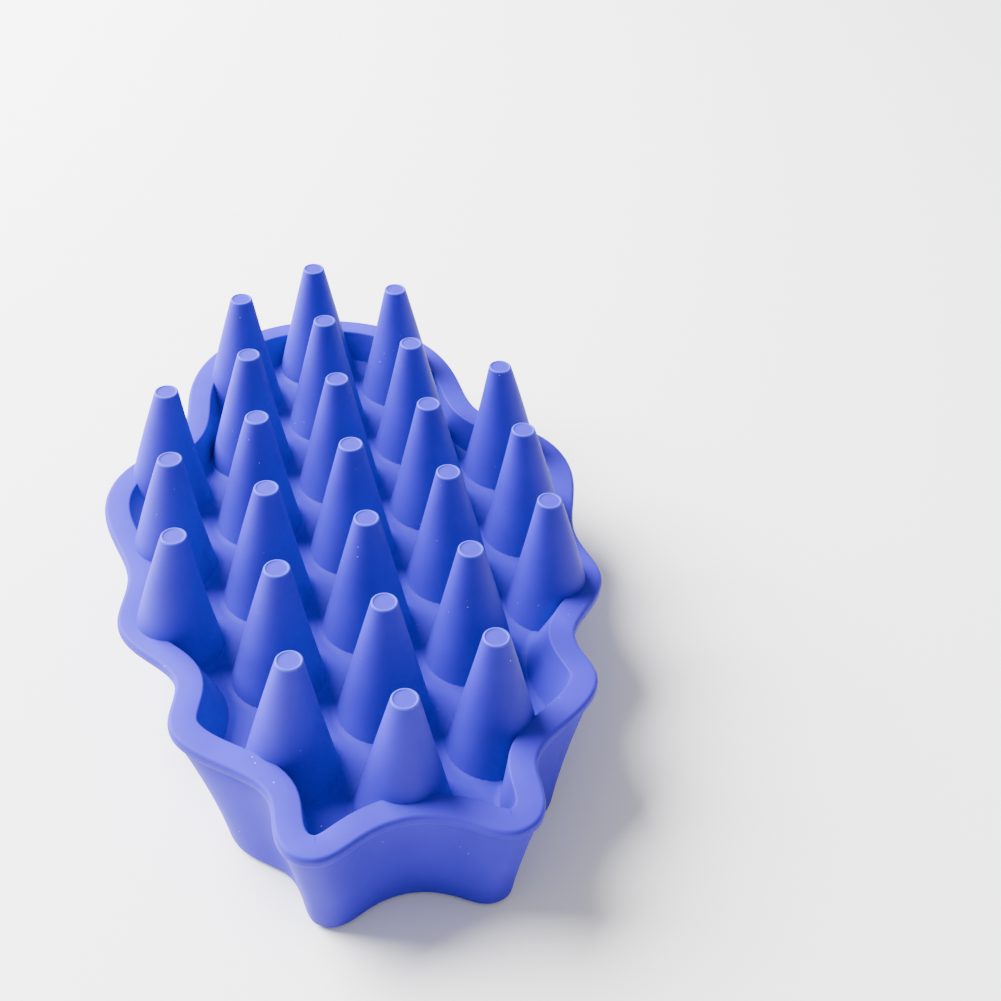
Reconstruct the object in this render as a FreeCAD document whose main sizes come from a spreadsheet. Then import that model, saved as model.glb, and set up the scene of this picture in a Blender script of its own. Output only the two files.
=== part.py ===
import FreeCAD, Part
import math
import os

# Hand-held rubber curry brush, millimetres. +Z is the way the cones point, Y runs from the notched
# tail (-Y) to the round head (+Y), X = 0 is the plane of symmetry and Z = 0 is the grip face, which
# the brush rests on. The real brush is one moulding: each functional region is a solid of its own
# here, meeting its neighbours face to face, and each cone bends about a pivot near its waist.

SIZES = {
    "columnPitch": 13.5,      # across the brush, cone column to cone column
    "rowPitch": 8.37,         # along the brush, neighbouring columns are staggered by one row
    "firstRow": -48.26,       # Y of row 0, the cone nearest the tail
    "tipHeight": 30.4,        # cone tips above the grip face
    "tipRadius": 1.75,
    "coneSlope": 0.2356,      # radius gained per millimetre down the cone
    "pivotHeight": 18.4,      # where a cone bends
    "seatGap": 0.3,           # between a cone's ball end and its seat
    "collarDrop": 1.0,        # top of the fixed root below the pivot
    "rimHeight": 16.9,        # top of the rim
    "lipThick": 1.5,          # rim flange above the parting line
    "lipStep": 0.5,           # flange overhang at the parting line
    "rimWidth": 3.8,
    "skirtWall": 3.4,         # wall beside the tray floor, measured square to the outline
    "trayRise": 1.0,          # how far the tray's blank goes on above the rim
    "floorHeight": 10.1,      # tray floor, where the cones stand
    "webBottom": 7.6,         # roof of the grip pockets
    "gripWall": 3.6,          # land round the grip face
    "wellRadius": 5.25,
    "wellRing": 3.15,         # ring of rubber round the well
    "wellPlace": -1.0,
    "cupHalfWidth": 10.7,
    "cupHalfLength": 14.2,
    "cupWall": 3.0,
    "cupPlace": 27.0,
    "barPitch": 5.5,
    "barThick": 3.3,
    "firstBar": 7.75,         # Y of the crossbar nearest the well
    "bridgeHalf": 5.5,        # half width of the bridge between well and cup
    "tongueHalf": 12.3,
    "tongueEnd": -1.0,
    "channelEndX": 15.0,      # centre of a finger channel's round end
    "channelEndY": -4.0,
    "channelEndWall": 9.2,    # outer radius of the wall round that end
    "grooveRadius": 6.4,      # plain ring groove on the tongue
    "grooveWidth": 1.0,
    "grooveDepth": 0.6,
    "groovePlace": -33.0,
    "blankHalf": 80.0,        # half size of the blanks that pieces are cut from
}

# Half outlines from the middle of the tail round to the top of the head: grip face, then rim.
OUTLINE = [
    ((0.0, -54.6), (0.0, -55.3)),
    ((5.6, -56.1), (6.6, -57.2)),
    ((9.8, -57.9), (11.8, -59.5)),
    ((12.4, -57.0), (15.0, -58.2)),
    ((13.4, -54.2), (16.6, -54.9)),
    ((14.9, -49.6), (16.9, -49.2)),
    ((20.4, -44.6), (23.2, -42.6)),
    ((22.0, -38.2), (28.4, -35.4)),
    ((19.6, -28.7), (27.3, -28.0)),
    ((21.9, -21.3), (31.7, -20.9)),
    ((24.3, -13.2), (34.7, -14.5)),
    ((26.3, -5.1), (33.3, -5.7)),
    ((26.3, 1.7), (34.8, 2.4)),
    ((23.6, 10.5), (36.5, 11.1)),
    ((22.4, 18.6), (33.1, 20.6)),
    ((21.9, 26.0), (25.0, 28.0)),
    ((20.3, 36.1), (23.0, 38.1)),
    ((16.5, 45.6), (20.0, 48.3)),
    ((9.5, 52.6), (12.2, 56.4)),
    ((0.0, 55.7), (0.0, 59.7)),
]

# Points of the outline that an inset leaves out, because it crowds them together in the tail corner.
TAIL_CORNER = (3, 4)

# One finger channel in the grip face: narrow beside the tail, wide at its round end.
CHANNEL = [
    (10.6, -49.5), (15.6, -45.2), (17.8, -38.2), (15.9, -28.5), (18.0, -19.5), (20.4, -11.0),
    (20.6, -4.0), (15.0, 2.0), (9.6, -4.0), (9.8, -14.0), (10.6, -25.0), (12.2, -35.5), (10.2, -44.0),
]

# Cone columns by number, counted from the middle, with the rows that each one holds.
COLUMNS = {
    -2: ("far_left", (4, 6, 8)),
    -1: ("left", (1, 3, 5, 7, 9, 11)),
    0: ("centre", (0, 2, 4, 6, 8, 10, 12)),
    1: ("right", (1, 3, 5, 7, 9, 11)),
    2: ("far_right", (4, 6, 8)),
}
BAR_COUNT = 8

doc = FreeCAD.newDocument("CurryBrush")
sheet = doc.addObject("Spreadsheet::Sheet", "Sizes")
for line, (name, value) in enumerate(SIZES.items(), start=1):
    sheet.set("A%d" % line, name)
    sheet.set("B%d" % line, str(value))
    sheet.setAlias("B%d" % line, name)
doc.recompute()

nodes = []


def size(name):
    return float(sheet.get(name))


def add(kind, name, **bindings):
    """A document object with its properties bound to expressions on the sheet."""
    item = doc.addObject(kind, name)
    for prop, text in bindings.items():
        item.setExpression(prop.replace("_", "."), text)
    return item


def keep(item, name):
    """Mark an object as a sub-part of the brush under the node name that its file gets."""
    item.Label = name
    nodes.append(item)
    return item


def cut(name, base, tool):
    item = doc.addObject("Part::Cut", name)
    item.Base = base
    item.Tool = tool
    return item


def common(name, base, tool):
    item = doc.addObject("Part::Common", name)
    item.Base = base
    item.Tool = tool
    return item


def gather(kind, name, items):
    item = doc.addObject(kind, name)
    if kind == "Part::Compound":
        item.Links = items
    else:
        item.Shapes = items
    return item


def closed(half):
    """Both halves of a half outline, as one ring of points."""
    return list(half) + [(-x, y) for x, y in reversed(half[1:-1])]


def between(lower, upper, part):
    """The half outline at a fraction of the way from one half outline up to another."""
    return [(low[0] + (high[0] - low[0]) * part, low[1] + (high[1] - low[1]) * part)
            for low, high in zip(lower, upper)]


def inset(half, distance, leaveOut=()):
    """A half outline moved square to itself towards the inside."""
    (firstX, firstY), (lastX, lastY) = half[1], half[-2]
    befores = [(-firstX, firstY)] + half[:-1]
    afters = half[1:] + [(-lastX, lastY)]
    moved = []
    for number, (before, here, after) in enumerate(zip(befores, half, afters)):
        dx = after[0] - before[0]
        dy = after[1] - before[1]
        run = math.hypot(dx, dy)
        if number not in leaveOut:
            moved.append((here[0] - distance * dy / run, here[1] + distance * dx / run))
    return moved


def profile(name, points, height):
    """A smooth closed curve through the points, at a height, as a wire."""
    curve = Part.BSplineCurve()
    curve.interpolate([FreeCAD.Vector(x, y, height) for x, y in points], PeriodicFlag=True)
    item = doc.addObject("Part::Feature", name)
    item.Shape = Part.Wire([curve.toShape()])
    return item


def prism(name, wire, length):
    item = add("Part::Extrusion", name, LengthFwd=length)
    item.Base = wire
    item.DirMode = "Custom"
    item.Dir = FreeCAD.Vector(0, 0, 1)
    item.Solid = True
    return item


def loft(name, lower, upper):
    item = doc.addObject("Part::Loft", name)
    item.Sections = [lower, upper]
    item.Solid = True
    return item


def cylinder(name, radius, height, place):
    return add("Part::Cylinder", name, Radius=radius, Height=height, Placement_Base_x=place[0],
               Placement_Base_y=place[1])


def ovalPrism(name, halfWidth, halfLength, height):
    """An upright oval column, long way along Y, at the cup's place."""
    oval = add("Part::Ellipse", name + "Edge", MajorRadius=halfLength, MinorRadius=halfWidth,
               Placement_Base_y="Sizes.cupPlace")
    turn = FreeCAD.Rotation(FreeCAD.Vector(0, 0, 1), 90)
    oval.Placement.Rotation = turn
    return prism(name, oval, height)


def slab(name, low, high, height="Sizes.webBottom"):
    """A block on the grip face between two corners given as expressions."""
    return add("Part::Box", name, Length="(%s) - (%s)" % (high[0], low[0]),
               Width="(%s) - (%s)" % (high[1], low[1]), Height=height,
               Placement_Base_x=low[0], Placement_Base_y=low[1])


# ---- outlines -------------------------------------------------------------------------------------
gripHalf = [grip for grip, rim in OUTLINE]
rimHalf = [rim for grip, rim in OUTLINE]
stepHeight = size("rimHeight") - size("lipThick")

gripWire = profile("GripOutline", closed(gripHalf), 0.0)
stepWire = profile("StepOutline", closed(inset(rimHalf, size("lipStep"))), stepHeight)
rimWire = profile("RimOutline", closed(rimHalf), stepHeight)
floorHalf = between(gripHalf, rimHalf, size("floorHeight") / stepHeight)
floorWire = profile("FloorOutline", closed(inset(floorHalf, size("skirtWall"), TAIL_CORNER)),
                    size("floorHeight"))
trayTop = size("rimHeight") + size("trayRise")
mouthWire = profile("MouthOutline", closed(inset(rimHalf, size("rimWidth"), TAIL_CORNER)), trayTop)
pocketWire = profile("PocketOutline", closed(inset(gripHalf, size("gripWall"), TAIL_CORNER)), 0.0)

tray = loft("TraySpace", floorWire, mouthWire)
pocket = prism("PocketSpace", pocketWire, "Sizes.floorHeight")
pocketRoom = prism("PocketRoom", pocketWire, "Sizes.webBottom")


# ---- cones ----------------------------------------------------------------------------------------
PIVOT_RADIUS = "Sizes.tipRadius + (Sizes.tipHeight - Sizes.pivotHeight) * Sizes.coneSlope"
FLOOR_RADIUS = "Sizes.tipRadius + (Sizes.tipHeight - Sizes.floorHeight) * Sizes.coneSlope"
COLLAR_RADIUS = PIVOT_RADIUS + " + Sizes.collarDrop * Sizes.coneSlope"


def conePlace(column, row):
    return ("%d * Sizes.columnPitch" % column, "Sizes.firstRow + %d * Sizes.rowPitch" % row)


def seatBall(name, column, row):
    x, y = conePlace(column, row)
    return add("Part::Sphere", name, Radius=PIVOT_RADIUS + " + Sizes.seatGap", Placement_Base_x=x,
               Placement_Base_y=y, Placement_Base_z="Sizes.pivotHeight")


def coneRoot(number, column, row):
    """The fixed foot of a cone, with the seat that its upper part turns in."""
    x, y = conePlace(column, row)
    foot = add("Part::Cone", "Foot%02d" % number, Radius1=FLOOR_RADIUS, Radius2=COLLAR_RADIUS,
               Height="Sizes.pivotHeight - Sizes.collarDrop - Sizes.floorHeight",
               Placement_Base_x=x, Placement_Base_y=y, Placement_Base_z="Sizes.floorHeight")
    seat = seatBall("Seat%02d" % number, column, row)
    hollowed = cut("HollowedFoot%02d" % number, foot, seat)
    return common("Root%02d" % number, hollowed, tray)


def massageCone(number, column, row):
    """The bending part of a cone: a ball end at the pivot and the taper up to the flat tip."""
    x, y = conePlace(column, row)
    ball = add("Part::Sphere", "Ball%02d" % number, Radius=PIVOT_RADIUS, Placement_Base_x=x,
               Placement_Base_y=y, Placement_Base_z="Sizes.pivotHeight")
    ball.Angle2 = 0.0
    taper = add("Part::Cone", "Taper%02d" % number, Radius1=PIVOT_RADIUS, Radius2="Sizes.tipRadius",
                Height="Sizes.tipHeight - Sizes.pivotHeight", Placement_Base_x=x,
                Placement_Base_y=y, Placement_Base_z="Sizes.pivotHeight")
    whole = doc.addObject("Part::Fuse", "Cone%02d" % number)
    whole.Base = ball
    whole.Tool = taper
    return keep(whole, "massage_cone_%02d" % number)


seats = []
coneNumber = 0
for column, (columnName, rows) in COLUMNS.items():
    roots = []
    for row in rows:
        coneNumber += 1
        massageCone(coneNumber, column, row)
        roots.append(coneRoot(coneNumber, column, row))
        if abs(column) == 2 or row in (0, 1, 11, 12):
            seats.append(seatBall("RimSeat%02d" % coneNumber, column, row))
    keep(gather("Part::Compound", "Roots" + columnName, roots), "cone_roots_" + columnName)
rimSeats = gather("Part::Compound", "RimSeats", seats)


# ---- skirt, rim and web ---------------------------------------------------------------------------
flare = loft("Flare", gripWire, stepWire)
skirt = cut("SkirtTray", flare, tray)
skirt = cut("SkirtPocket", skirt, pocket)
keep(cut("Skirt", skirt, rimSeats), "skirt_wall")

flange = cut("LipTray", prism("LipBlank", rimWire, "Sizes.lipThick"), tray)
keep(cut("Lip", flange, rimSeats), "rim_lip")

keep(cut("Web", pocket, pocketRoom), "web_plate")


# ---- grip side ------------------------------------------------------------------------------------
wellSpace = cylinder("WellSpace", "Sizes.wellRadius", "Sizes.webBottom", ("0", "Sizes.wellPlace"))
wellDisc = cylinder("WellDisc", "Sizes.wellRadius + Sizes.wellRing", "Sizes.webBottom",
                    ("0", "Sizes.wellPlace"))
cupSpace = ovalPrism("CupSpace", "Sizes.cupHalfWidth", "Sizes.cupHalfLength", "Sizes.webBottom")
cupDisc = ovalPrism("CupDisc", "Sizes.cupHalfWidth + Sizes.cupWall",
                    "Sizes.cupHalfLength + Sizes.cupWall", "Sizes.webBottom")
keep(cut("CupRing", cupDisc, cupSpace), "cup_wall")

channels = {}
for side, sign in (("left", -1), ("right", 1)):
    wire = profile("Channel" + side, [(sign * x, y) for x, y in CHANNEL], 0.0)
    channels[side] = prism("ChannelSpace" + side, wire, "Sizes.webBottom")
channelPair = gather("Part::Compound", "Channels", list(channels.values()))

tongueStrip = slab("TongueStrip", ("-Sizes.tongueHalf", "-Sizes.blankHalf"),
                   ("Sizes.tongueHalf", "Sizes.tongueEnd"))
tongueBlank = gather("Part::MultiFuse", "TongueBlank",
                     [common("TongueInPocket", tongueStrip, pocketRoom), wellDisc])
grooveOuter = cylinder("GrooveOuter", "Sizes.grooveRadius", "Sizes.grooveDepth",
                       ("0", "Sizes.groovePlace"))
grooveInner = cylinder("GrooveInner", "Sizes.grooveRadius - Sizes.grooveWidth",
                       "Sizes.grooveDepth", ("0", "Sizes.groovePlace"))
groove = cut("RingGroove", grooveOuter, grooveInner)
tongue = cut("TongueChannels", tongueBlank, channelPair)
tongue = cut("TongueWell", tongue, wellSpace)
keep(cut("Tongue", tongue, groove), "grip_tongue")

for side, sign in (("left", -1), ("right", 1)):
    low, high = sorted((0, sign))
    strip = slab("ChannelStrip" + side, ("%d * Sizes.blankHalf" % low, "-Sizes.blankHalf"),
                 ("%d * Sizes.blankHalf" % high, "Sizes.channelEndY"))
    endDisc = cylinder("ChannelDisc" + side, "Sizes.channelEndWall", "Sizes.webBottom",
                       ("%d * Sizes.channelEndX" % sign, "Sizes.channelEndY"))
    blank = gather("Part::MultiFuse", "ChannelBlank" + side, [strip, endDisc])
    wall = common("ChannelInPocket" + side, blank, pocketRoom)
    wall = cut("ChannelOpen" + side, wall, channels[side])
    wall = cut("ChannelTongue" + side, wall, tongueBlank)
    keep(wall, "channel_wall_" + side)

bridge = slab("BridgeBlank", ("-Sizes.bridgeHalf", "Sizes.wellPlace"),
              ("Sizes.bridgeHalf", "Sizes.cupPlace"))
bridge = cut("BridgeWell", bridge, wellDisc)
bridge = cut("BridgeCup", bridge, cupDisc)
keep(bridge, "well_bridge")
middlePieces = gather("Part::MultiFuse", "MiddlePieces", [wellDisc, bridge, cupDisc])

for bar in range(BAR_COUNT):
    middle = "Sizes.firstBar + %d * Sizes.barPitch" % bar
    blank = slab("BarBlank%d" % (bar + 1), ("-Sizes.blankHalf", middle + " - Sizes.barThick / 2"),
                 ("Sizes.blankHalf", middle + " + Sizes.barThick / 2"))
    piece = common("BarInPocket%d" % (bar + 1), blank, pocketRoom)
    keep(cut("Bar%d" % (bar + 1), piece, middlePieces), "crossbar_%d" % (bar + 1))

doc.recompute()

for item in doc.Objects:
    if "Invalid" in item.State or "Error" in item.State:
        raise RuntimeError("%s did not build: %s" % (item.Label, item.State))

os.makedirs("parts", exist_ok=True)
for item in nodes:
    shape = item.Shape
    if shape.isNull() or not shape.isValid() or not shape.Solids:
        raise RuntimeError("%s has no sound solid" % item.Label)
    box = shape.BoundBox
    print("%-22s %2d solids %9.1f mm3  x %6.1f %6.1f  y %6.1f %6.1f  z %5.1f %5.1f" % (
        item.Label, len(shape.Solids), shape.Volume, box.XMin, box.XMax, box.YMin, box.YMax,
        box.ZMin, box.ZMax))
    shape.exportStep("parts/%s.step" % item.Label)
print("%d sub-parts" % len(nodes))
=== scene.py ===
import math
import bpy
import numpy as np
from mathutils import Matrix, Vector


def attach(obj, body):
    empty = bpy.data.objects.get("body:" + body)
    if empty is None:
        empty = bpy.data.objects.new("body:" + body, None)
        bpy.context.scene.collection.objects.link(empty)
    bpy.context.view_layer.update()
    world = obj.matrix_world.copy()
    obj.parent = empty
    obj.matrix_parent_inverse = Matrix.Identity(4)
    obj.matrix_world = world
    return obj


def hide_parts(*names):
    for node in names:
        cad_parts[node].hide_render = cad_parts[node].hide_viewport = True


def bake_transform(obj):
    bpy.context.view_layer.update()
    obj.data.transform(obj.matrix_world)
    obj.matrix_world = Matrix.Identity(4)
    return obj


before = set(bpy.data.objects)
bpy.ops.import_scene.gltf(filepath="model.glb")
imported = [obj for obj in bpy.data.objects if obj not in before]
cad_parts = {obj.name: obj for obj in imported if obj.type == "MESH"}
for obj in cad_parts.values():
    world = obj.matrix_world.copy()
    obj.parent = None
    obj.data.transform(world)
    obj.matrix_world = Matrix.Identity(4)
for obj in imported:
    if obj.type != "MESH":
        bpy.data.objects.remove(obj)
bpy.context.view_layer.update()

mm = 0.001

# Half outlines, tail middle round to the top of the head: grip face, then rim. Millimetres.
outlinePairs = [
    ((0.0, -54.6), (0.0, -55.3)),
    ((5.6, -56.1), (6.6, -57.2)),
    ((9.8, -57.9), (11.8, -59.5)),
    ((12.4, -57.0), (15.0, -58.2)),
    ((13.4, -54.2), (16.6, -54.9)),
    ((14.9, -49.6), (16.9, -49.2)),
    ((20.4, -44.6), (23.2, -42.6)),
    ((22.0, -38.2), (28.4, -35.4)),
    ((19.6, -28.7), (27.3, -28.0)),
    ((21.9, -21.3), (31.7, -20.9)),
    ((24.3, -13.2), (34.7, -14.5)),
    ((26.3, -5.1), (33.3, -5.7)),
    ((26.3, 1.7), (34.8, 2.4)),
    ((23.6, 10.5), (36.5, 11.1)),
    ((22.4, 18.6), (33.1, 20.6)),
    ((21.9, 26.0), (25.0, 28.0)),
    ((20.3, 36.1), (23.0, 38.1)),
    ((16.5, 45.6), (20.0, 48.3)),
    ((9.5, 52.6), (12.2, 56.4)),
    ((0.0, 55.7), (0.0, 59.7)),
]

skirt = {
    "samplesPerPoint": 10,     # outline samples between two outline points
    "top": 16.9,               # rim top above the grip face
    "parting": 15.3,           # parting line under the rim flange
    "step": 0.5,               # flange overhang
    "bell": 1.3,               # above 1 the wall flares late, like a bell
    "footRound": 1.1,
    "edgeRound": 0.6,
    "innerRound": 0.3,
    "rimWidth": 3.8,
    "floorWidth": 3.4,
    "headDrop": 1.6,           # the rim is highest at the tail
    "dropFrom": -38.0,
    "dropTo": -8.0,
    "wallRows": 9,
    "wallEnds": 0.7,           # the plain wall stops this far under the parting line
    "lip": ((0.55, -0.25), (0.5, -0.05), (0.2, 0.05), (0.04, 0.2), (0.0, 0.45)),    # inset, height over parting
    "innerRows": (0.3, 0.6, 0.85, 1.0),    # how far down the inner wall each row lies
    "tuck": 0.4,               # the inner wall runs this far under the floor's top
    "seat": 0.3,               # the skirt's inside overlaps the floor by this much
}


def smoothRing(points, samplesPerPoint):
    # periodic cubic spline through the points, knots spaced by chord length
    ring = np.array(points, float)
    count = len(ring)
    steps = np.linalg.norm(np.roll(ring, -1, 0) - ring, axis=1)
    system = np.zeros((count, count))
    right = np.zeros((count, 2))
    for i in range(count):
        before, after = steps[i - 1], steps[i]
        system[i, i - 1] += before
        system[i, i] += 2 * (before + after)
        system[i, (i + 1) % count] += after
        right[i] = 6 * ((ring[(i + 1) % count] - ring[i]) / after - (ring[i] - ring[i - 1]) / before)
    bend = np.linalg.solve(system, right)
    samples = []
    for i in range(count):
        j = (i + 1) % count
        span = steps[i]
        for t in np.arange(samplesPerPoint) / samplesPerPoint * span:
            rest = span - t
            samples.append(bend[i] * rest ** 3 / (6 * span) + bend[j] * t ** 3 / (6 * span)
                           + (ring[i] / span - bend[i] * span / 6) * rest
                           + (ring[j] / span - bend[j] * span / 6) * t)
    return np.array(samples)


def bothHalves(half):
    return list(half) + [(-x, y) for x, y in reversed(half[1:-1])]


def distanceTo(points, ring):
    # shortest distance from each point to the closed line through the ring
    start = ring[None, :, :]
    along = (np.roll(ring, -1, 0) - ring)[None, :, :]
    offset = points[:, None, :] - start
    share = np.clip((offset * along).sum(2) / (along ** 2).sum(2), 0, 1)
    return np.linalg.norm(offset - share[..., None] * along, axis=2).min(1)


def insideOf(points, ring):
    x, y = points[:, None, 0], points[:, None, 1]
    x1, y1 = ring[None, :, 0], ring[None, :, 1]
    x2, y2 = np.roll(ring, -1, 0)[None, :, 0], np.roll(ring, -1, 0)[None, :, 1]
    crosses = (y1 > y) != (y2 > y)
    height = np.where(y2 == y1, 1e-9, y2 - y1)
    return (crosses & (x < (x2 - x1) * (y - y1) / height + x1)).sum(1) % 2 == 1


def insetRing(ring, distance):
    # moved square to itself, with the loops that tight corners make taken out
    if distance == 0:
        return ring.copy()
    run = np.roll(ring, -1, 0) - np.roll(ring, 1, 0)
    run /= np.linalg.norm(run, axis=1)[:, None]
    moved = ring + distance * np.stack([-run[:, 1], run[:, 0]], 1)
    enough = 0.985             # a moved point nearer than this share of the distance lies in a loop
    sound = distanceTo(moved, ring) > distance * enough
    count = len(ring)
    places = np.arange(-count, 2 * count)
    known = np.tile(sound, 3)
    for axis in (0, 1):
        values = np.tile(moved[:, axis], 3)
        moved[:, axis] = np.interp(np.arange(count), places[known], values[known])
    return moved


gripRing = smoothRing(bothHalves([low for low, high in outlinePairs]), skirt["samplesPerPoint"])
rimRing = smoothRing(bothHalves([high for low, high in outlinePairs]), skirt["samplesPerPoint"])


def wallRing(height):
    # the skirt's outside at a height, between the grip outline and the flange's underside
    part = (height / skirt["parting"]) ** skirt["bell"]
    return gripRing + (insetRing(rimRing, skirt["step"]) - gripRing) * part


def deselectAll():
    bpy.ops.object.select_all(action="DESELECT")


def takeUp(piece):
    deselectAll()
    piece.select_set(True)
    bpy.context.view_layer.objects.active = piece


def editAll(*steps):
    bpy.ops.object.mode_set(mode="EDIT")
    bpy.ops.mesh.select_mode(type="VERT")
    bpy.ops.mesh.select_all(action="SELECT")
    for step in steps:
        step()
    bpy.ops.object.mode_set(mode="OBJECT")


def mergeDoubles():
    bpy.ops.mesh.remove_doubles(threshold=0.0005 * mm)


def capEnds():
    bpy.ops.mesh.fill_holes(sides=0)


def facesOutwards():
    bpy.ops.mesh.normals_make_consistent(inside=False)


def readPoints(piece):
    values = np.zeros(len(piece.data.vertices) * 3)
    piece.data.vertices.foreach_get("co", values)
    return values.reshape(-1, 3)


def writePoints(piece, points):
    piece.data.vertices.foreach_set("co", np.asarray(points, float).ravel())
    piece.data.update()


def smoothShaded(piece, angle):
    takeUp(piece)
    bpy.ops.object.shade_smooth_by_angle(angle=math.radians(angle))


def applied(piece, kind, **settings):
    takeUp(piece)
    modifier = piece.modifiers.new(kind.title(), kind)
    for key, value in settings.items():
        setattr(modifier, key, value)
    bpy.ops.object.modifier_apply(modifier=modifier.name)


def extrudedRings(name, rings):
    # a circle laid on the first ring and extruded through the others, in millimetres
    deselectAll()
    bpy.ops.mesh.primitive_circle_add(vertices=len(rings[0]))
    piece = bpy.context.active_object
    piece.name = name
    writePoints(piece, np.asarray(rings[0]) * mm)
    for ring in rings[1:]:
        bpy.ops.object.mode_set(mode="EDIT")
        bpy.ops.mesh.extrude_region_move()
        bpy.ops.object.mode_set(mode="OBJECT")
        chosen = np.array([vertex.select for vertex in piece.data.vertices])
        points = readPoints(piece)
        points[chosen] = np.asarray(ring) * mm
        writePoints(piece, points)
    return piece


def ringAt(ring, heights):
    return np.column_stack([ring, np.broadcast_to(heights, len(ring))])


def smoothStep(value, low, high):
    t = np.clip((value - low) / (high - low), 0, 1)
    return t * t * (3 - 2 * t)


def rimDrop(ring):
    return skirt["headDrop"] * smoothStep(ring[:, 1], skirt["dropFrom"], skirt["dropTo"])


def quarterRound(radius, count):
    # (inset, height) steps round a quarter circle, from the side to the top
    turns = np.linspace(0, math.pi / 2, count)
    return [(radius * (1 - math.cos(turn)), radius * math.sin(turn)) for turn in turns]


def buildSkirt():
    rows = []
    foot = skirt["footRound"]
    rows.append(ringAt(insetRing(gripRing, grip["landInset"]), 0))
    for inset, rise in reversed(quarterRound(foot, 6)):
        height = foot - rise
        rows.append(ringAt(insetRing(wallRing(height), inset), height))
    parting = skirt["parting"]
    top = skirt["top"]
    for height in np.linspace(foot, parting - skirt["wallEnds"], skirt["wallRows"])[1:]:
        ring = wallRing(height)
        rows.append(ringAt(ring, height - rimDrop(ring) * height / top))
    drop = rimDrop(rimRing)
    edge = skirt["edgeRound"]
    for inset, rise in skirt["lip"]:
        rows.append(ringAt(insetRing(rimRing, inset), parting + rise - drop))
    for inset, rise in quarterRound(edge, 6):
        rows.append(ringAt(insetRing(rimRing, inset), top - edge + rise - drop))
    width = skirt["rimWidth"]
    rows.append(ringAt(insetRing(rimRing, width * 0.5), top - drop))
    inner = skirt["innerRound"]
    for inset, rise in reversed(quarterRound(inner, 5)):
        rows.append(ringAt(insetRing(rimRing, width - inset), top - inner + rise - drop))
    floorRing = insetRing(wallRing(tray["top"]), skirt["floorWidth"])
    mouthRing = insetRing(rimRing, width)
    for part in skirt["innerRows"]:
        ring = mouthRing + (floorRing - mouthRing) * part
        height = top - inner + (tray["top"] - skirt["tuck"] - top + inner) * part
        rows.append(ringAt(ring, height - rimDrop(ring) * (1 - part)))
    seat = tray["bottom"] + skirt["seat"]
    rows.append(ringAt(floorRing, seat))
    rows.append(ringAt(insetRing(gripRing, grip["landInset"]), seat))
    rows.append(rows[0])
    piece = extrudedRings("skirt", rows)
    editAll(mergeDoubles, facesOutwards)
    smoothShaded(piece, 50)
    return piece


cone = {
    "columnPitch": 13.5,
    "rowPitch": 8.37,
    "firstRow": -48.26,
    "top": 30.4,
    "tipRadius": 1.75,
    "slope": 0.2356,
    "buried": 8.6,             # the mesh starts inside the floor
    "sides": 56,
    "tipRound": 0.22,
    "ringWidth": 0.28,         # thin raised ring round the tip's flat
    "ringHeight": 0.09,
    "ringEdge": 0.06,          # slope at the ring's inner edge
    "dishWidth": 0.2,
    "dishDepth": 0.02,
    "sideRows": 26,
    "outerColumn": 2,
    "endRows": (0, 1, 11, 12), # cones of the outer columns and of these rows reach the wall
    "rimGap": 0.5,             # feet are trimmed only this far below the rim
    "clear": 1.0,              # a foot keeps this far inside the skirt's outside
    "pivot": 18.4,
    "bendSpan": 6.4,           # half the length over which a cone bends
    "leanIn": 0.05,            # how far a soft tip leans inwards, for each unit off the middle line
    "leanCurve": 1.6,          # 1 leans straight, more keeps the foot upright for longer
}

# Cone columns from left to right, with the rows that each one fills.
coneColumns = {
    -2: ("far_left", (4, 6, 8)),
    -1: ("left", (1, 3, 5, 7, 9, 11)),
    0: ("centre", (0, 2, 4, 6, 8, 10, 12)),
    1: ("right", (1, 3, 5, 7, 9, 11)),
    2: ("far_right", (4, 6, 8)),
}


def conePlaces():
    for column, (name, rows) in coneColumns.items():
        for row in rows:
            yield column, row, name


def coneCentre(column, row):
    return column * cone["columnPitch"], cone["firstRow"] + row * cone["rowPitch"]


def coneRadius(height):
    return cone["tipRadius"] + (cone["top"] - height) * cone["slope"]


def buildCone():
    # one upright cone at the origin: (radius, height) from inside the floor to the dish in the tip
    top = cone["top"]
    tip = cone["tipRadius"]
    edge = cone["ringEdge"]
    heights = np.linspace(cone["buried"], top - 1, cone["sideRows"])
    profile = [(coneRadius(height), height) for height in heights]
    for inset, rise in quarterRound(cone["tipRound"], 5):
        profile.append((tip - inset + edge / 2, top - cone["tipRound"] + rise))
    ring = tip - cone["ringWidth"]
    dish = top - cone["ringHeight"]
    profile += [(ring + edge, top), (ring, top - edge / 2), (ring - edge, dish),
                (ring - cone["dishWidth"], dish - cone["dishDepth"]), (ring * 0.5, dish)]
    turns = np.linspace(0, 2 * math.pi, cone["sides"], endpoint=False)
    rings = [[(radius * math.cos(turn), radius * math.sin(turn), height) for turn in turns]
             for radius, height in profile]
    piece = extrudedRings("massageCone", rings)
    editAll(capEnds, facesOutwards)
    smoothShaded(piece, 35)
    return piece


def leanAt(height):
    # how much of a tip's lean shows at a height
    share = np.clip((height - tray["top"]) / (cone["top"] - tray["top"]), 0, 1)
    return share ** cone["leanCurve"]


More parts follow.
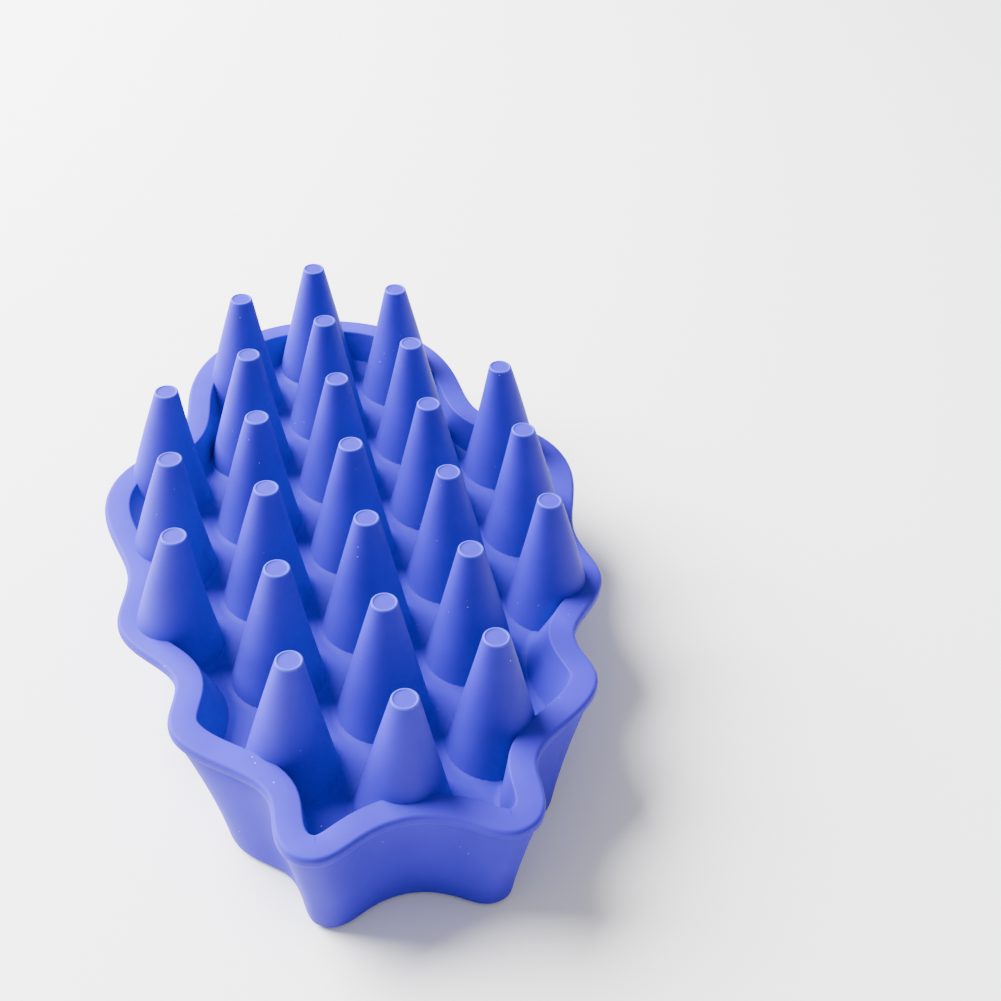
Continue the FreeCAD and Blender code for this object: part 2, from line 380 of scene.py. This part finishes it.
def keptInSkirt(points, centre):
    # a cone's foot ends inside the wall, so that none of it shows on the skirt's outside
    highest = skirt["top"] - skirt["headDrop"] - cone["rimGap"]
    same = 0.001               # points this near in height are on one level
    for height in np.unique(np.round(points[:, 2], 3)):
        if height > highest:
            continue
        level = np.abs(points[:, 2] - height) < same
        wall = insetRing(wallRing(height), cone["clear"])
        spread = points[level, :2] - centre
        share = np.ones(len(spread))
        step = 0.5
        for halving in range(9):
            out = ~insideOf(centre + spread * share[:, None], wall)
            share = np.where(out, share - step, np.minimum(share + step, 1.0))
            step /= 2
        points[level, :2] = centre + spread * share[:, None]
    return points


def buildCones():
    pattern = buildCone()
    base = readPoints(pattern)
    pieces = []
    for number, (column, row, name) in enumerate(conePlaces(), start=1):
        piece = pattern.copy()
        piece.data = pattern.data.copy()
        piece.name = "massageCone%02d" % number
        bpy.context.scene.collection.objects.link(piece)
        x, y = coneCentre(column, row)
        points = base / mm + (x, y, 0)
        points[:, 0] -= cone["leanIn"] * x * leanAt(points[:, 2])
        if abs(column) == cone["outerColumn"] or row in cone["endRows"]:
            points = keptInSkirt(points, np.array([x, y]))
        writePoints(piece, points * mm)
        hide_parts("massage_cone_%02d" % number)
        if row == coneColumns[column][1][0]:
            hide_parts("cone_roots_" + name)
        pieces.append((piece, "cone_%02d" % number, (x, y)))
    bpy.data.objects.remove(pattern)
    return pieces


tray = {
    "top": 10.1,
    "bottom": 7.6,
    "cell": 0.45,              # spacing of the floor's mesh
    "edge": 1.6,               # the floor runs this far short of the skirt's outside
    "fillet": 0.4,             # soft rise at the feet of the cones and of the wall
    "filletReach": 1.6,        # how far it spreads, how high it rises, and at most, in fillets
    "filletRise": 0.8,
    "filletMost": 1.2,
}


def buildFloor():
    outside = wallRing(tray["top"])
    low, high = outside.min(0), outside.max(0)
    across = np.arange(low[0], high[0] + tray["cell"], tray["cell"])
    along = np.arange(low[1], high[1] + tray["cell"], tray["cell"])
    x, y = np.meshgrid(across, along)
    spots = np.column_stack([x.ravel(), y.ravel()])
    toWall = np.where(insideOf(spots, outside), distanceTo(spots, outside), 0)
    centres = np.array([coneCentre(column, row) for column, row, name in conePlaces()])
    toCones = np.linalg.norm(spots[:, None, :] - centres[None, :, :], axis=2)
    nearest = np.sort(toCones, axis=1)
    fillet = tray["fillet"]
    foot = coneRadius(tray["top"])
    rise = np.zeros(len(spots))
    for gap in (nearest[:, 0] - foot, nearest[:, 1] - foot, toWall - skirt["floorWidth"]):
        near = np.clip(1 - gap / (tray["filletReach"] * fillet), 0, 1)
        rise = rise + tray["filletRise"] * fillet * near ** 3
    heights = tray["top"] + np.minimum(rise, tray["filletMost"] * fillet)
    deselectAll()
    bpy.ops.mesh.primitive_grid_add(x_subdivisions=len(across) - 1, y_subdivisions=len(along) - 1,
                                    size=1)
    piece = bpy.context.active_object
    piece.name = "trayFloor"
    writePoints(piece, np.column_stack([spots, heights]) * mm)
    editAll(mergeDoubles, facesOutwards)
    centre = np.array([face.center[:2] for face in piece.data.polygons]) / mm
    kept = insideOf(centre, outside) & (distanceTo(centre, outside) > tray["edge"])
    takeUp(piece)
    bpy.ops.object.mode_set(mode="EDIT")
    bpy.ops.mesh.select_mode(type="FACE")
    bpy.ops.mesh.select_all(action="DESELECT")
    bpy.ops.object.mode_set(mode="OBJECT")
    for face, stays in zip(piece.data.polygons, kept):
        face.select = not stays
    bpy.ops.object.mode_set(mode="EDIT")
    bpy.ops.mesh.delete(type="FACE")
    bpy.ops.mesh.select_all(action="SELECT")
    bpy.ops.mesh.extrude_region_move()
    bpy.ops.object.mode_set(mode="OBJECT")
    chosen = np.array([vertex.select for vertex in piece.data.vertices])
    points = readPoints(piece)
    points[chosen, 2] = tray["bottom"] * mm
    writePoints(piece, points)
    editAll(facesOutwards)
    smoothShaded(piece, 60)
    return piece


# One finger channel of the grip face.
channelPoints = [
    (10.6, -49.5), (15.6, -45.2), (17.8, -38.2), (15.9, -28.5), (18.0, -19.5), (20.4, -11.0),
    (20.6, -4.0), (15.0, 2.0), (9.6, -4.0), (9.8, -14.0), (10.6, -25.0), (12.2, -35.5), (10.2, -44.0),
]

grip = {
    "thick": 7.6,
    "rounding": 0.55,
    "landInset": 2.7,          # where the skirt's foot meets the grip plate
    "plateInset": 1.9,
    "pocketInset": 3.6,
    "flush": 0.02,             # the plate sits this much inside the skirt's foot
    "wellRadius": 5.25,
    "wellPlace": -1.0,
    "wellRing": 8.4,
    "cupHalfWidth": 10.7,
    "cupHalfLength": 14.2,
    "cupWall": 3.0,
    "cupPlace": 27.0,
    "barPitch": 5.5,
    "barThick": 3.3,
    "firstBar": 7.75,
    "barCount": 8,
    "bridgeHalf": 5.5,
    "channelEnd": (15.0, -4.0),
    "channelEndWall": 9.2,
    "cornerRound": 0.45,
    "channelSamples": 10,
    "wellSides": 64,
    "cupSides": 96,
    "holeShift": 0.004,
    "headSlotInset": 0.8,
    "innerSlotFrom": 7.0,      # inner three-cornered slot, from here to there along the first bar
    "innerSlotTo": 14.6,
    "innerSlotRound": ((8.6, 0.25), (10.6, 0.2), (13.0, 0.2)),    # x, and how far off the end wall
    "wellSide": (0.9, 3.6),    # its corner beside the well's ring
    "outerSlotFrom": 17.4,
    "outerSlotRound": ((19.0, 0.2), (21.0, 0.2), (22.4, 0.1)),
    "landSide": (0.2, 3.4),    # the outer slot's corner beside the land
    "grooveRadius": 5.9,
    "grooveDepth": 0.5,
    "groovePlace": -33.0,
}


def roundedCorners(points, radius):
    # each corner of a ring of points becomes four points on its rounding
    ring = np.array(points, float)
    rounded = []
    for i in range(len(ring)):
        before, here, after = ring[i - 1], ring[i], ring[(i + 1) % len(ring)]
        toBefore, toAfter = before - here, after - here
        reach = min(radius, 0.45 * np.linalg.norm(toBefore), 0.45 * np.linalg.norm(toAfter))
        start = here + toBefore / np.linalg.norm(toBefore) * reach
        end = here + toAfter / np.linalg.norm(toAfter) * reach
        for t in (0.0, 0.35, 0.65, 1.0):
            rounded.append((1 - t) ** 2 * start + 2 * t * (1 - t) * here + t ** 2 * end)
    return np.array(rounded)


def ovalRing(halfWidth, halfLength, place, count):
    turns = np.linspace(0, 2 * math.pi, count, endpoint=False)
    return np.column_stack([halfWidth * np.cos(turns), place + halfLength * np.sin(turns)])


def pocketHalfWidth(y):
    # half width of the pocket between the lands at a place along the brush
    ring = insetRing(gripRing, grip["pocketInset"])
    right = ring[ring[:, 0] > 0]
    right = right[np.argsort(right[:, 1])]
    return float(np.interp(y, right[:, 1], right[:, 0]))


def cupRingHalfWidth(y):
    halfWidth = grip["cupHalfWidth"] + grip["cupWall"]
    halfLength = grip["cupHalfLength"] + grip["cupWall"]
    reach = 1 - ((y - grip["cupPlace"]) / halfLength) ** 2
    return max(grip["bridgeHalf"], halfWidth * math.sqrt(reach)) if reach > 0 else grip["bridgeHalf"]


def slotHoles():
    holes = []
    half = grip["barThick"] / 2
    for bar in range(grip["barCount"] - 1):
        low = grip["firstBar"] + bar * grip["barPitch"] + half
        high = low + grip["barPitch"] - grip["barThick"]
        levels = np.linspace(low, high, 4)
        inner = [(cupRingHalfWidth(y), y) for y in levels]
        outer = [(pocketHalfWidth(y), y) for y in levels]
        holes.append(outer + inner[::-1])
    lastFace = grip["firstBar"] + (grip["barCount"] - 1) * grip["barPitch"] + half
    return holes, lastFace


def endSlot(lastFace):
    # the segment between the last bar and the round head
    ring = insetRing(gripRing, grip["pocketInset"] + grip["headSlotInset"])
    arc = ring[ring[:, 1] > lastFace]
    arc = arc[np.argsort(-arc[:, 0])]
    halfWidth = pocketHalfWidth(lastFace) - grip["headSlotInset"]
    return [(-halfWidth, lastFace), (halfWidth, lastFace)] + [tuple(point) for point in arc[1:-1]]


def cornerSlots():
    # the two small three-cornered slots between a channel's end wall, the well and the first bar
    faceY = grip["firstBar"] - grip["barThick"] / 2
    centreX, centreY = grip["channelEnd"]
    reach = grip["channelEndWall"]

    def onEnd(x):
        return centreY + math.sqrt(max(reach ** 2 - (x - centreX) ** 2, 0))

    def onWell(y):
        return math.sqrt(max(grip["wellRing"] ** 2 - (y - grip["wellPlace"]) ** 2, 0))

    wellGap, wellY = grip["wellSide"]
    landGap, landY = grip["landSide"]
    edge = pocketHalfWidth(faceY)
    inner = [(grip["innerSlotFrom"], faceY), (onWell(wellY) + wellGap, wellY)]
    inner += [(x, onEnd(x) + gap) for x, gap in grip["innerSlotRound"]]
    inner += [(grip["innerSlotTo"], faceY)]
    outer = [(grip["outerSlotFrom"], faceY)]
    outer += [(x, onEnd(x) + gap) for x, gap in grip["outerSlotRound"]]
    outer += [(edge + landGap, landY), (edge, faceY)]
    return [inner, outer]


def mirrored(points):
    return [(-x, y) for x, y in reversed(points)]


def plateOf(name, outer, holes, thick, rounding):
    # a flat filled curve with holes, given thickness and rounded edges, then made a mesh
    curve = bpy.data.curves.new(name, "CURVE")
    curve.dimensions = "2D"
    curve.fill_mode = "BOTH"
    for ring in [outer] + [hole[::-1] for hole in holes]:
        spline = curve.splines.new("POLY")
        spline.points.add(len(ring) - 1)
        for point, (x, y) in zip(spline.points, ring):
            point.co = (x * mm, y * mm, 0, 1)
        spline.use_cyclic_u = True
    curve.extrude = (thick / 2 - rounding) * mm
    curve.bevel_depth = rounding * mm
    curve.bevel_resolution = 3
    curve.offset = -rounding * mm
    piece = bpy.data.objects.new(name, curve)
    bpy.context.scene.collection.objects.link(piece)
    takeUp(piece)
    bpy.ops.object.convert(target="MESH")
    piece = bpy.context.active_object
    piece.name = name
    editAll(mergeDoubles, facesOutwards)
    return piece


def anticlockwise(points):
    ring = np.array(points, float)
    after = np.roll(ring, -1, 0)
    area = (ring[:, 0] * after[:, 1] - after[:, 0] * ring[:, 1]).sum()
    return ring if area > 0 else ring[::-1]


def buildGripFace():
    holes = []
    slots, lastFace = slotHoles()
    corner = grip["cornerRound"]
    for points in slots + cornerSlots():
        for shape in (points, mirrored(points)):
            holes.append(roundedCorners(shape, corner))
    holes.append(roundedCorners(endSlot(lastFace), corner))
    for shape in (channelPoints, mirrored(channelPoints)):
        holes.append(smoothRing(shape, grip["channelSamples"]))
    holes.append(ovalRing(grip["wellRadius"], grip["wellRadius"], grip["wellPlace"], grip["wellSides"]))
    holes.append(ovalRing(grip["cupHalfWidth"], grip["cupHalfLength"], grip["cupPlace"],
                          grip["cupSides"]))
    # each hole sits a few microns further on, because the fill leaves gaps between edges in line
    holes = [anticlockwise(hole) + (0, grip["holeShift"] * number) for number, hole in enumerate(holes)]
    outer = anticlockwise(insetRing(gripRing, grip["plateInset"]))
    piece = plateOf("gripFace", outer, holes, grip["thick"], grip["rounding"])
    points = readPoints(piece)
    points[:, 2] += (grip["thick"] / 2 + grip["flush"]) * mm
    writePoints(piece, points)
    deselectAll()
    bpy.ops.mesh.primitive_torus_add(major_radius=grip["grooveRadius"] * mm,
                                     minor_radius=grip["grooveDepth"] * mm, major_segments=72,
                                     minor_segments=12, location=(0, grip["groovePlace"] * mm, 0))
    cutter = bpy.context.active_object
    applied(piece, "BOOLEAN", operation="DIFFERENCE", object=cutter, solver="EXACT")
    bpy.data.objects.remove(cutter)
    smoothShaded(piece, 35)
    return piece


def linear(hexColour):
    values = [int(hexColour[i:i + 2], 16) / 255 for i in (1, 3, 5)]
    return tuple(v / 12.92 if v <= 0.04045 else ((v + 0.055) / 1.055) ** 2.4 for v in values) + (1,)


def addNode(material, kind, settings=None, links=None, **values):
    # one node with its properties, its socket values and its incoming links
    tree = material.node_tree
    node = tree.nodes.new(kind)
    for key, value in (settings or {}).items():
        setattr(node, key, value)
    for key, value in values.items():
        node.inputs[key.replace("_", " ")].default_value = value
    for key, source in (links or {}).items():
        tree.links.new(source, node.inputs[key])
    return node


def mouldedRubber(name, darkTint, lightTint):
    # natural rubber, press moulded: matt with a soft bloom, a faint moulded grain and stray dust
    material = bpy.data.materials.new(name)
    material.use_nodes = True
    shader = material.node_tree.nodes["Principled BSDF"]
    place = addNode(material, "ShaderNodeTexCoord").outputs["Object"]
    mottle = addNode(material, "ShaderNodeTexNoise", links={"Vector": place},
                     Scale=1 / (9 * mm), Detail=3.0, Roughness=0.5)     # 9 mm blotches of bloom
    tint = addNode(material, "ShaderNodeValToRGB", links={"Fac": mottle.outputs["Fac"]})
    tint.color_ramp.elements[0].position = 0.3
    tint.color_ramp.elements[0].color = linear(darkTint)
    tint.color_ramp.elements[1].position = 0.7
    tint.color_ramp.elements[1].color = linear(lightTint)
    specks = addNode(material, "ShaderNodeTexVoronoi", links={"Vector": place},
                     Scale=1 / (2.0 * mm), Randomness=1.0)              # at most one speck per 2 mm cell
    dust = addNode(material, "ShaderNodeMapRange", links={"Value": specks.outputs["Distance"]},
                   From_Min=0.035, From_Max=0.055, To_Min=0.4, To_Max=0.0)
    sparse = addNode(material, "ShaderNodeTexNoise", links={"Vector": place}, Scale=1 / (6 * mm))
    some = addNode(material, "ShaderNodeMapRange", links={"Value": sparse.outputs["Fac"]},
                   From_Min=0.5, From_Max=0.62)    # dust only here and there
    amount = addNode(material, "ShaderNodeMath", {"operation": "MULTIPLY"},
                     {0: dust.outputs["Result"], 1: some.outputs["Result"]})
    dusty = addNode(material, "ShaderNodeMixRGB", links={"Fac": amount.outputs["Value"],
                                                         "Color1": tint.outputs["Color"]},
                    Color2=linear("#C9D3FF"))
    grain = addNode(material, "ShaderNodeTexNoise", links={"Vector": place},
                    Scale=1 / (0.35 * mm), Detail=2.0)                  # 0.35 mm moulded grain
    bump = addNode(material, "ShaderNodeBump", links={"Height": grain.outputs["Fac"]},
                   Strength=0.12, Distance=0.05 * mm)
    link = material.node_tree.links.new
    link(dusty.outputs["Color"], shader.inputs["Base Color"])
    link(bump.outputs["Normal"], shader.inputs["Normal"])
    shader.inputs["Roughness"].default_value = 0.58
    shader.inputs["IOR"].default_value = 1.5
    shader.inputs["Specular IOR Level"].default_value = 0.12
    shader.inputs["Sheen Weight"].default_value = 0.03
    shader.inputs["Sheen Roughness"].default_value = 0.5
    shader.inputs["Sheen Tint"].default_value = linear("#AEBBFF")
    return material


def wear(piece, *materials):
    piece.data.materials.clear()
    for material in materials:
        piece.data.materials.append(material)


def paintTipHighlight(piece):
    # the faces of the thin ring on a cone's tip and of the tip's rounding take the second material, a lighter
    # blue that is a painted highlight
    low = (cone["top"] - cone["tipRound"]) * mm
    middle = np.array([face.center for face in piece.data.polygons])
    tip = middle[middle[:, 2] > low][:, :2].mean(0)
    reach = np.linalg.norm(middle[:, :2] - tip, axis=1)
    ring = cone["tipRadius"] - cone["ringWidth"] - cone["ringEdge"]
    inRing = (middle[:, 2] > low) & (reach > ring * mm)
    piece.data.polygons.foreach_set("material_index", inRing.astype(int))


rubber = mouldedRubber("mouldedRubber", "#2D1AA6", "#331FB4")
# a lighter blue copy of the rubber for the cones' tip rings and tip roundings: painted highlight
tipHighlight = mouldedRubber("paintedTipHighlight", "#3A3ABE", "#4242CA")
skirtPiece = buildSkirt()
print("skirt and rim built")
floorPiece = buildFloor()
print("tray floor built")
gripPiece = buildGripFace()
print("grip face built")
conePieces = buildCones()
print("%d cones built" % len(conePieces))

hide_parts("skirt_wall", "rim_lip")
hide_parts("web_plate")
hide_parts("grip_tongue", "channel_wall_left", "channel_wall_right", "well_bridge",
            "cup_wall", *["crossbar_%d" % (bar + 1) for bar in range(grip["barCount"])])
for piece in (skirtPiece, floorPiece, gripPiece):
    wear(piece, rubber)
    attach(piece, "brush_body")
for piece, body, (x, y) in conePieces:
    # the second material is the painted highlight on the tip ring
    wear(piece, rubber, tipHighlight)
    paintTipHighlight(piece)
    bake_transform(piece)
print("pieces ride on their bodies")


def buildStage():
    deselectAll()
    bpy.ops.mesh.primitive_plane_add(size=6, location=(0, 0, 0))
    floor = bpy.context.active_object
    floor.name = "paleFloor"
    paper = bpy.data.materials.new("mattPaper")
    paper.use_nodes = True
    shader = paper.node_tree.nodes["Principled BSDF"]
    shader.inputs["Base Color"].default_value = (0.9, 0.9, 0.9, 1)
    shader.inputs["Roughness"].default_value = 0.9
    floor.data.materials.append(paper)


studio = {
    "softboxPlace": (-0.45, 0.36, 0.48),
    "softboxWidth": 0.7,
    "softboxPower": 52.0,
    "roomLight": 0.68,
    "cameraPlace": (-0.01882, -0.16037, 0.15417),
    "cameraTurn": (14.406, 39.291, 3.884),    # azimuth, degrees looked down, roll
    "lens": 50.61,
}


def addSoftbox():
    light = bpy.data.lights.new("softbox", "AREA")
    light.shape = "DISK"
    light.size = studio["softboxWidth"]
    light.energy = studio["softboxPower"]
    lamp = bpy.data.objects.new("softbox", light)
    bpy.context.scene.collection.objects.link(lamp)
    lamp.location = studio["softboxPlace"]
    lamp.rotation_euler = (-Vector(studio["softboxPlace"])).to_track_quat("-Z", "Y").to_euler()


def buildLights():
    world = bpy.data.worlds.new("studio")
    world.use_nodes = True
    world.node_tree.nodes["Background"].inputs["Color"].default_value = (1, 1, 1, 1)
    world.node_tree.nodes["Background"].inputs["Strength"].default_value = studio["roomLight"]
    bpy.context.scene.world = world
    addSoftbox()


def buildCamera():
    azimuth, elevation, roll = (math.radians(angle) for angle in studio["cameraTurn"])
    forward = Vector((math.sin(azimuth) * math.cos(elevation),
                      math.cos(azimuth) * math.cos(elevation), -math.sin(elevation)))
    level = Vector((math.cos(azimuth), -math.sin(azimuth), 0))
    upright = level.cross(forward)
    right = level * math.cos(roll) + upright * math.sin(roll)
    up = upright * math.cos(roll) - level * math.sin(roll)
    camera = bpy.data.cameras.new("camera")
    camera.sensor_width = 36
    camera.lens = studio["lens"]
    view = bpy.data.objects.new("camera", camera)
    bpy.context.scene.collection.objects.link(view)
    turn = Matrix((right, up, -forward)).transposed()
    view.matrix_world = Matrix.Translation(studio["cameraPlace"]) @ turn.to_4x4()
    bpy.context.scene.camera = view


buildStage()
buildLights()
buildCamera()
print("stage, lights and camera set")
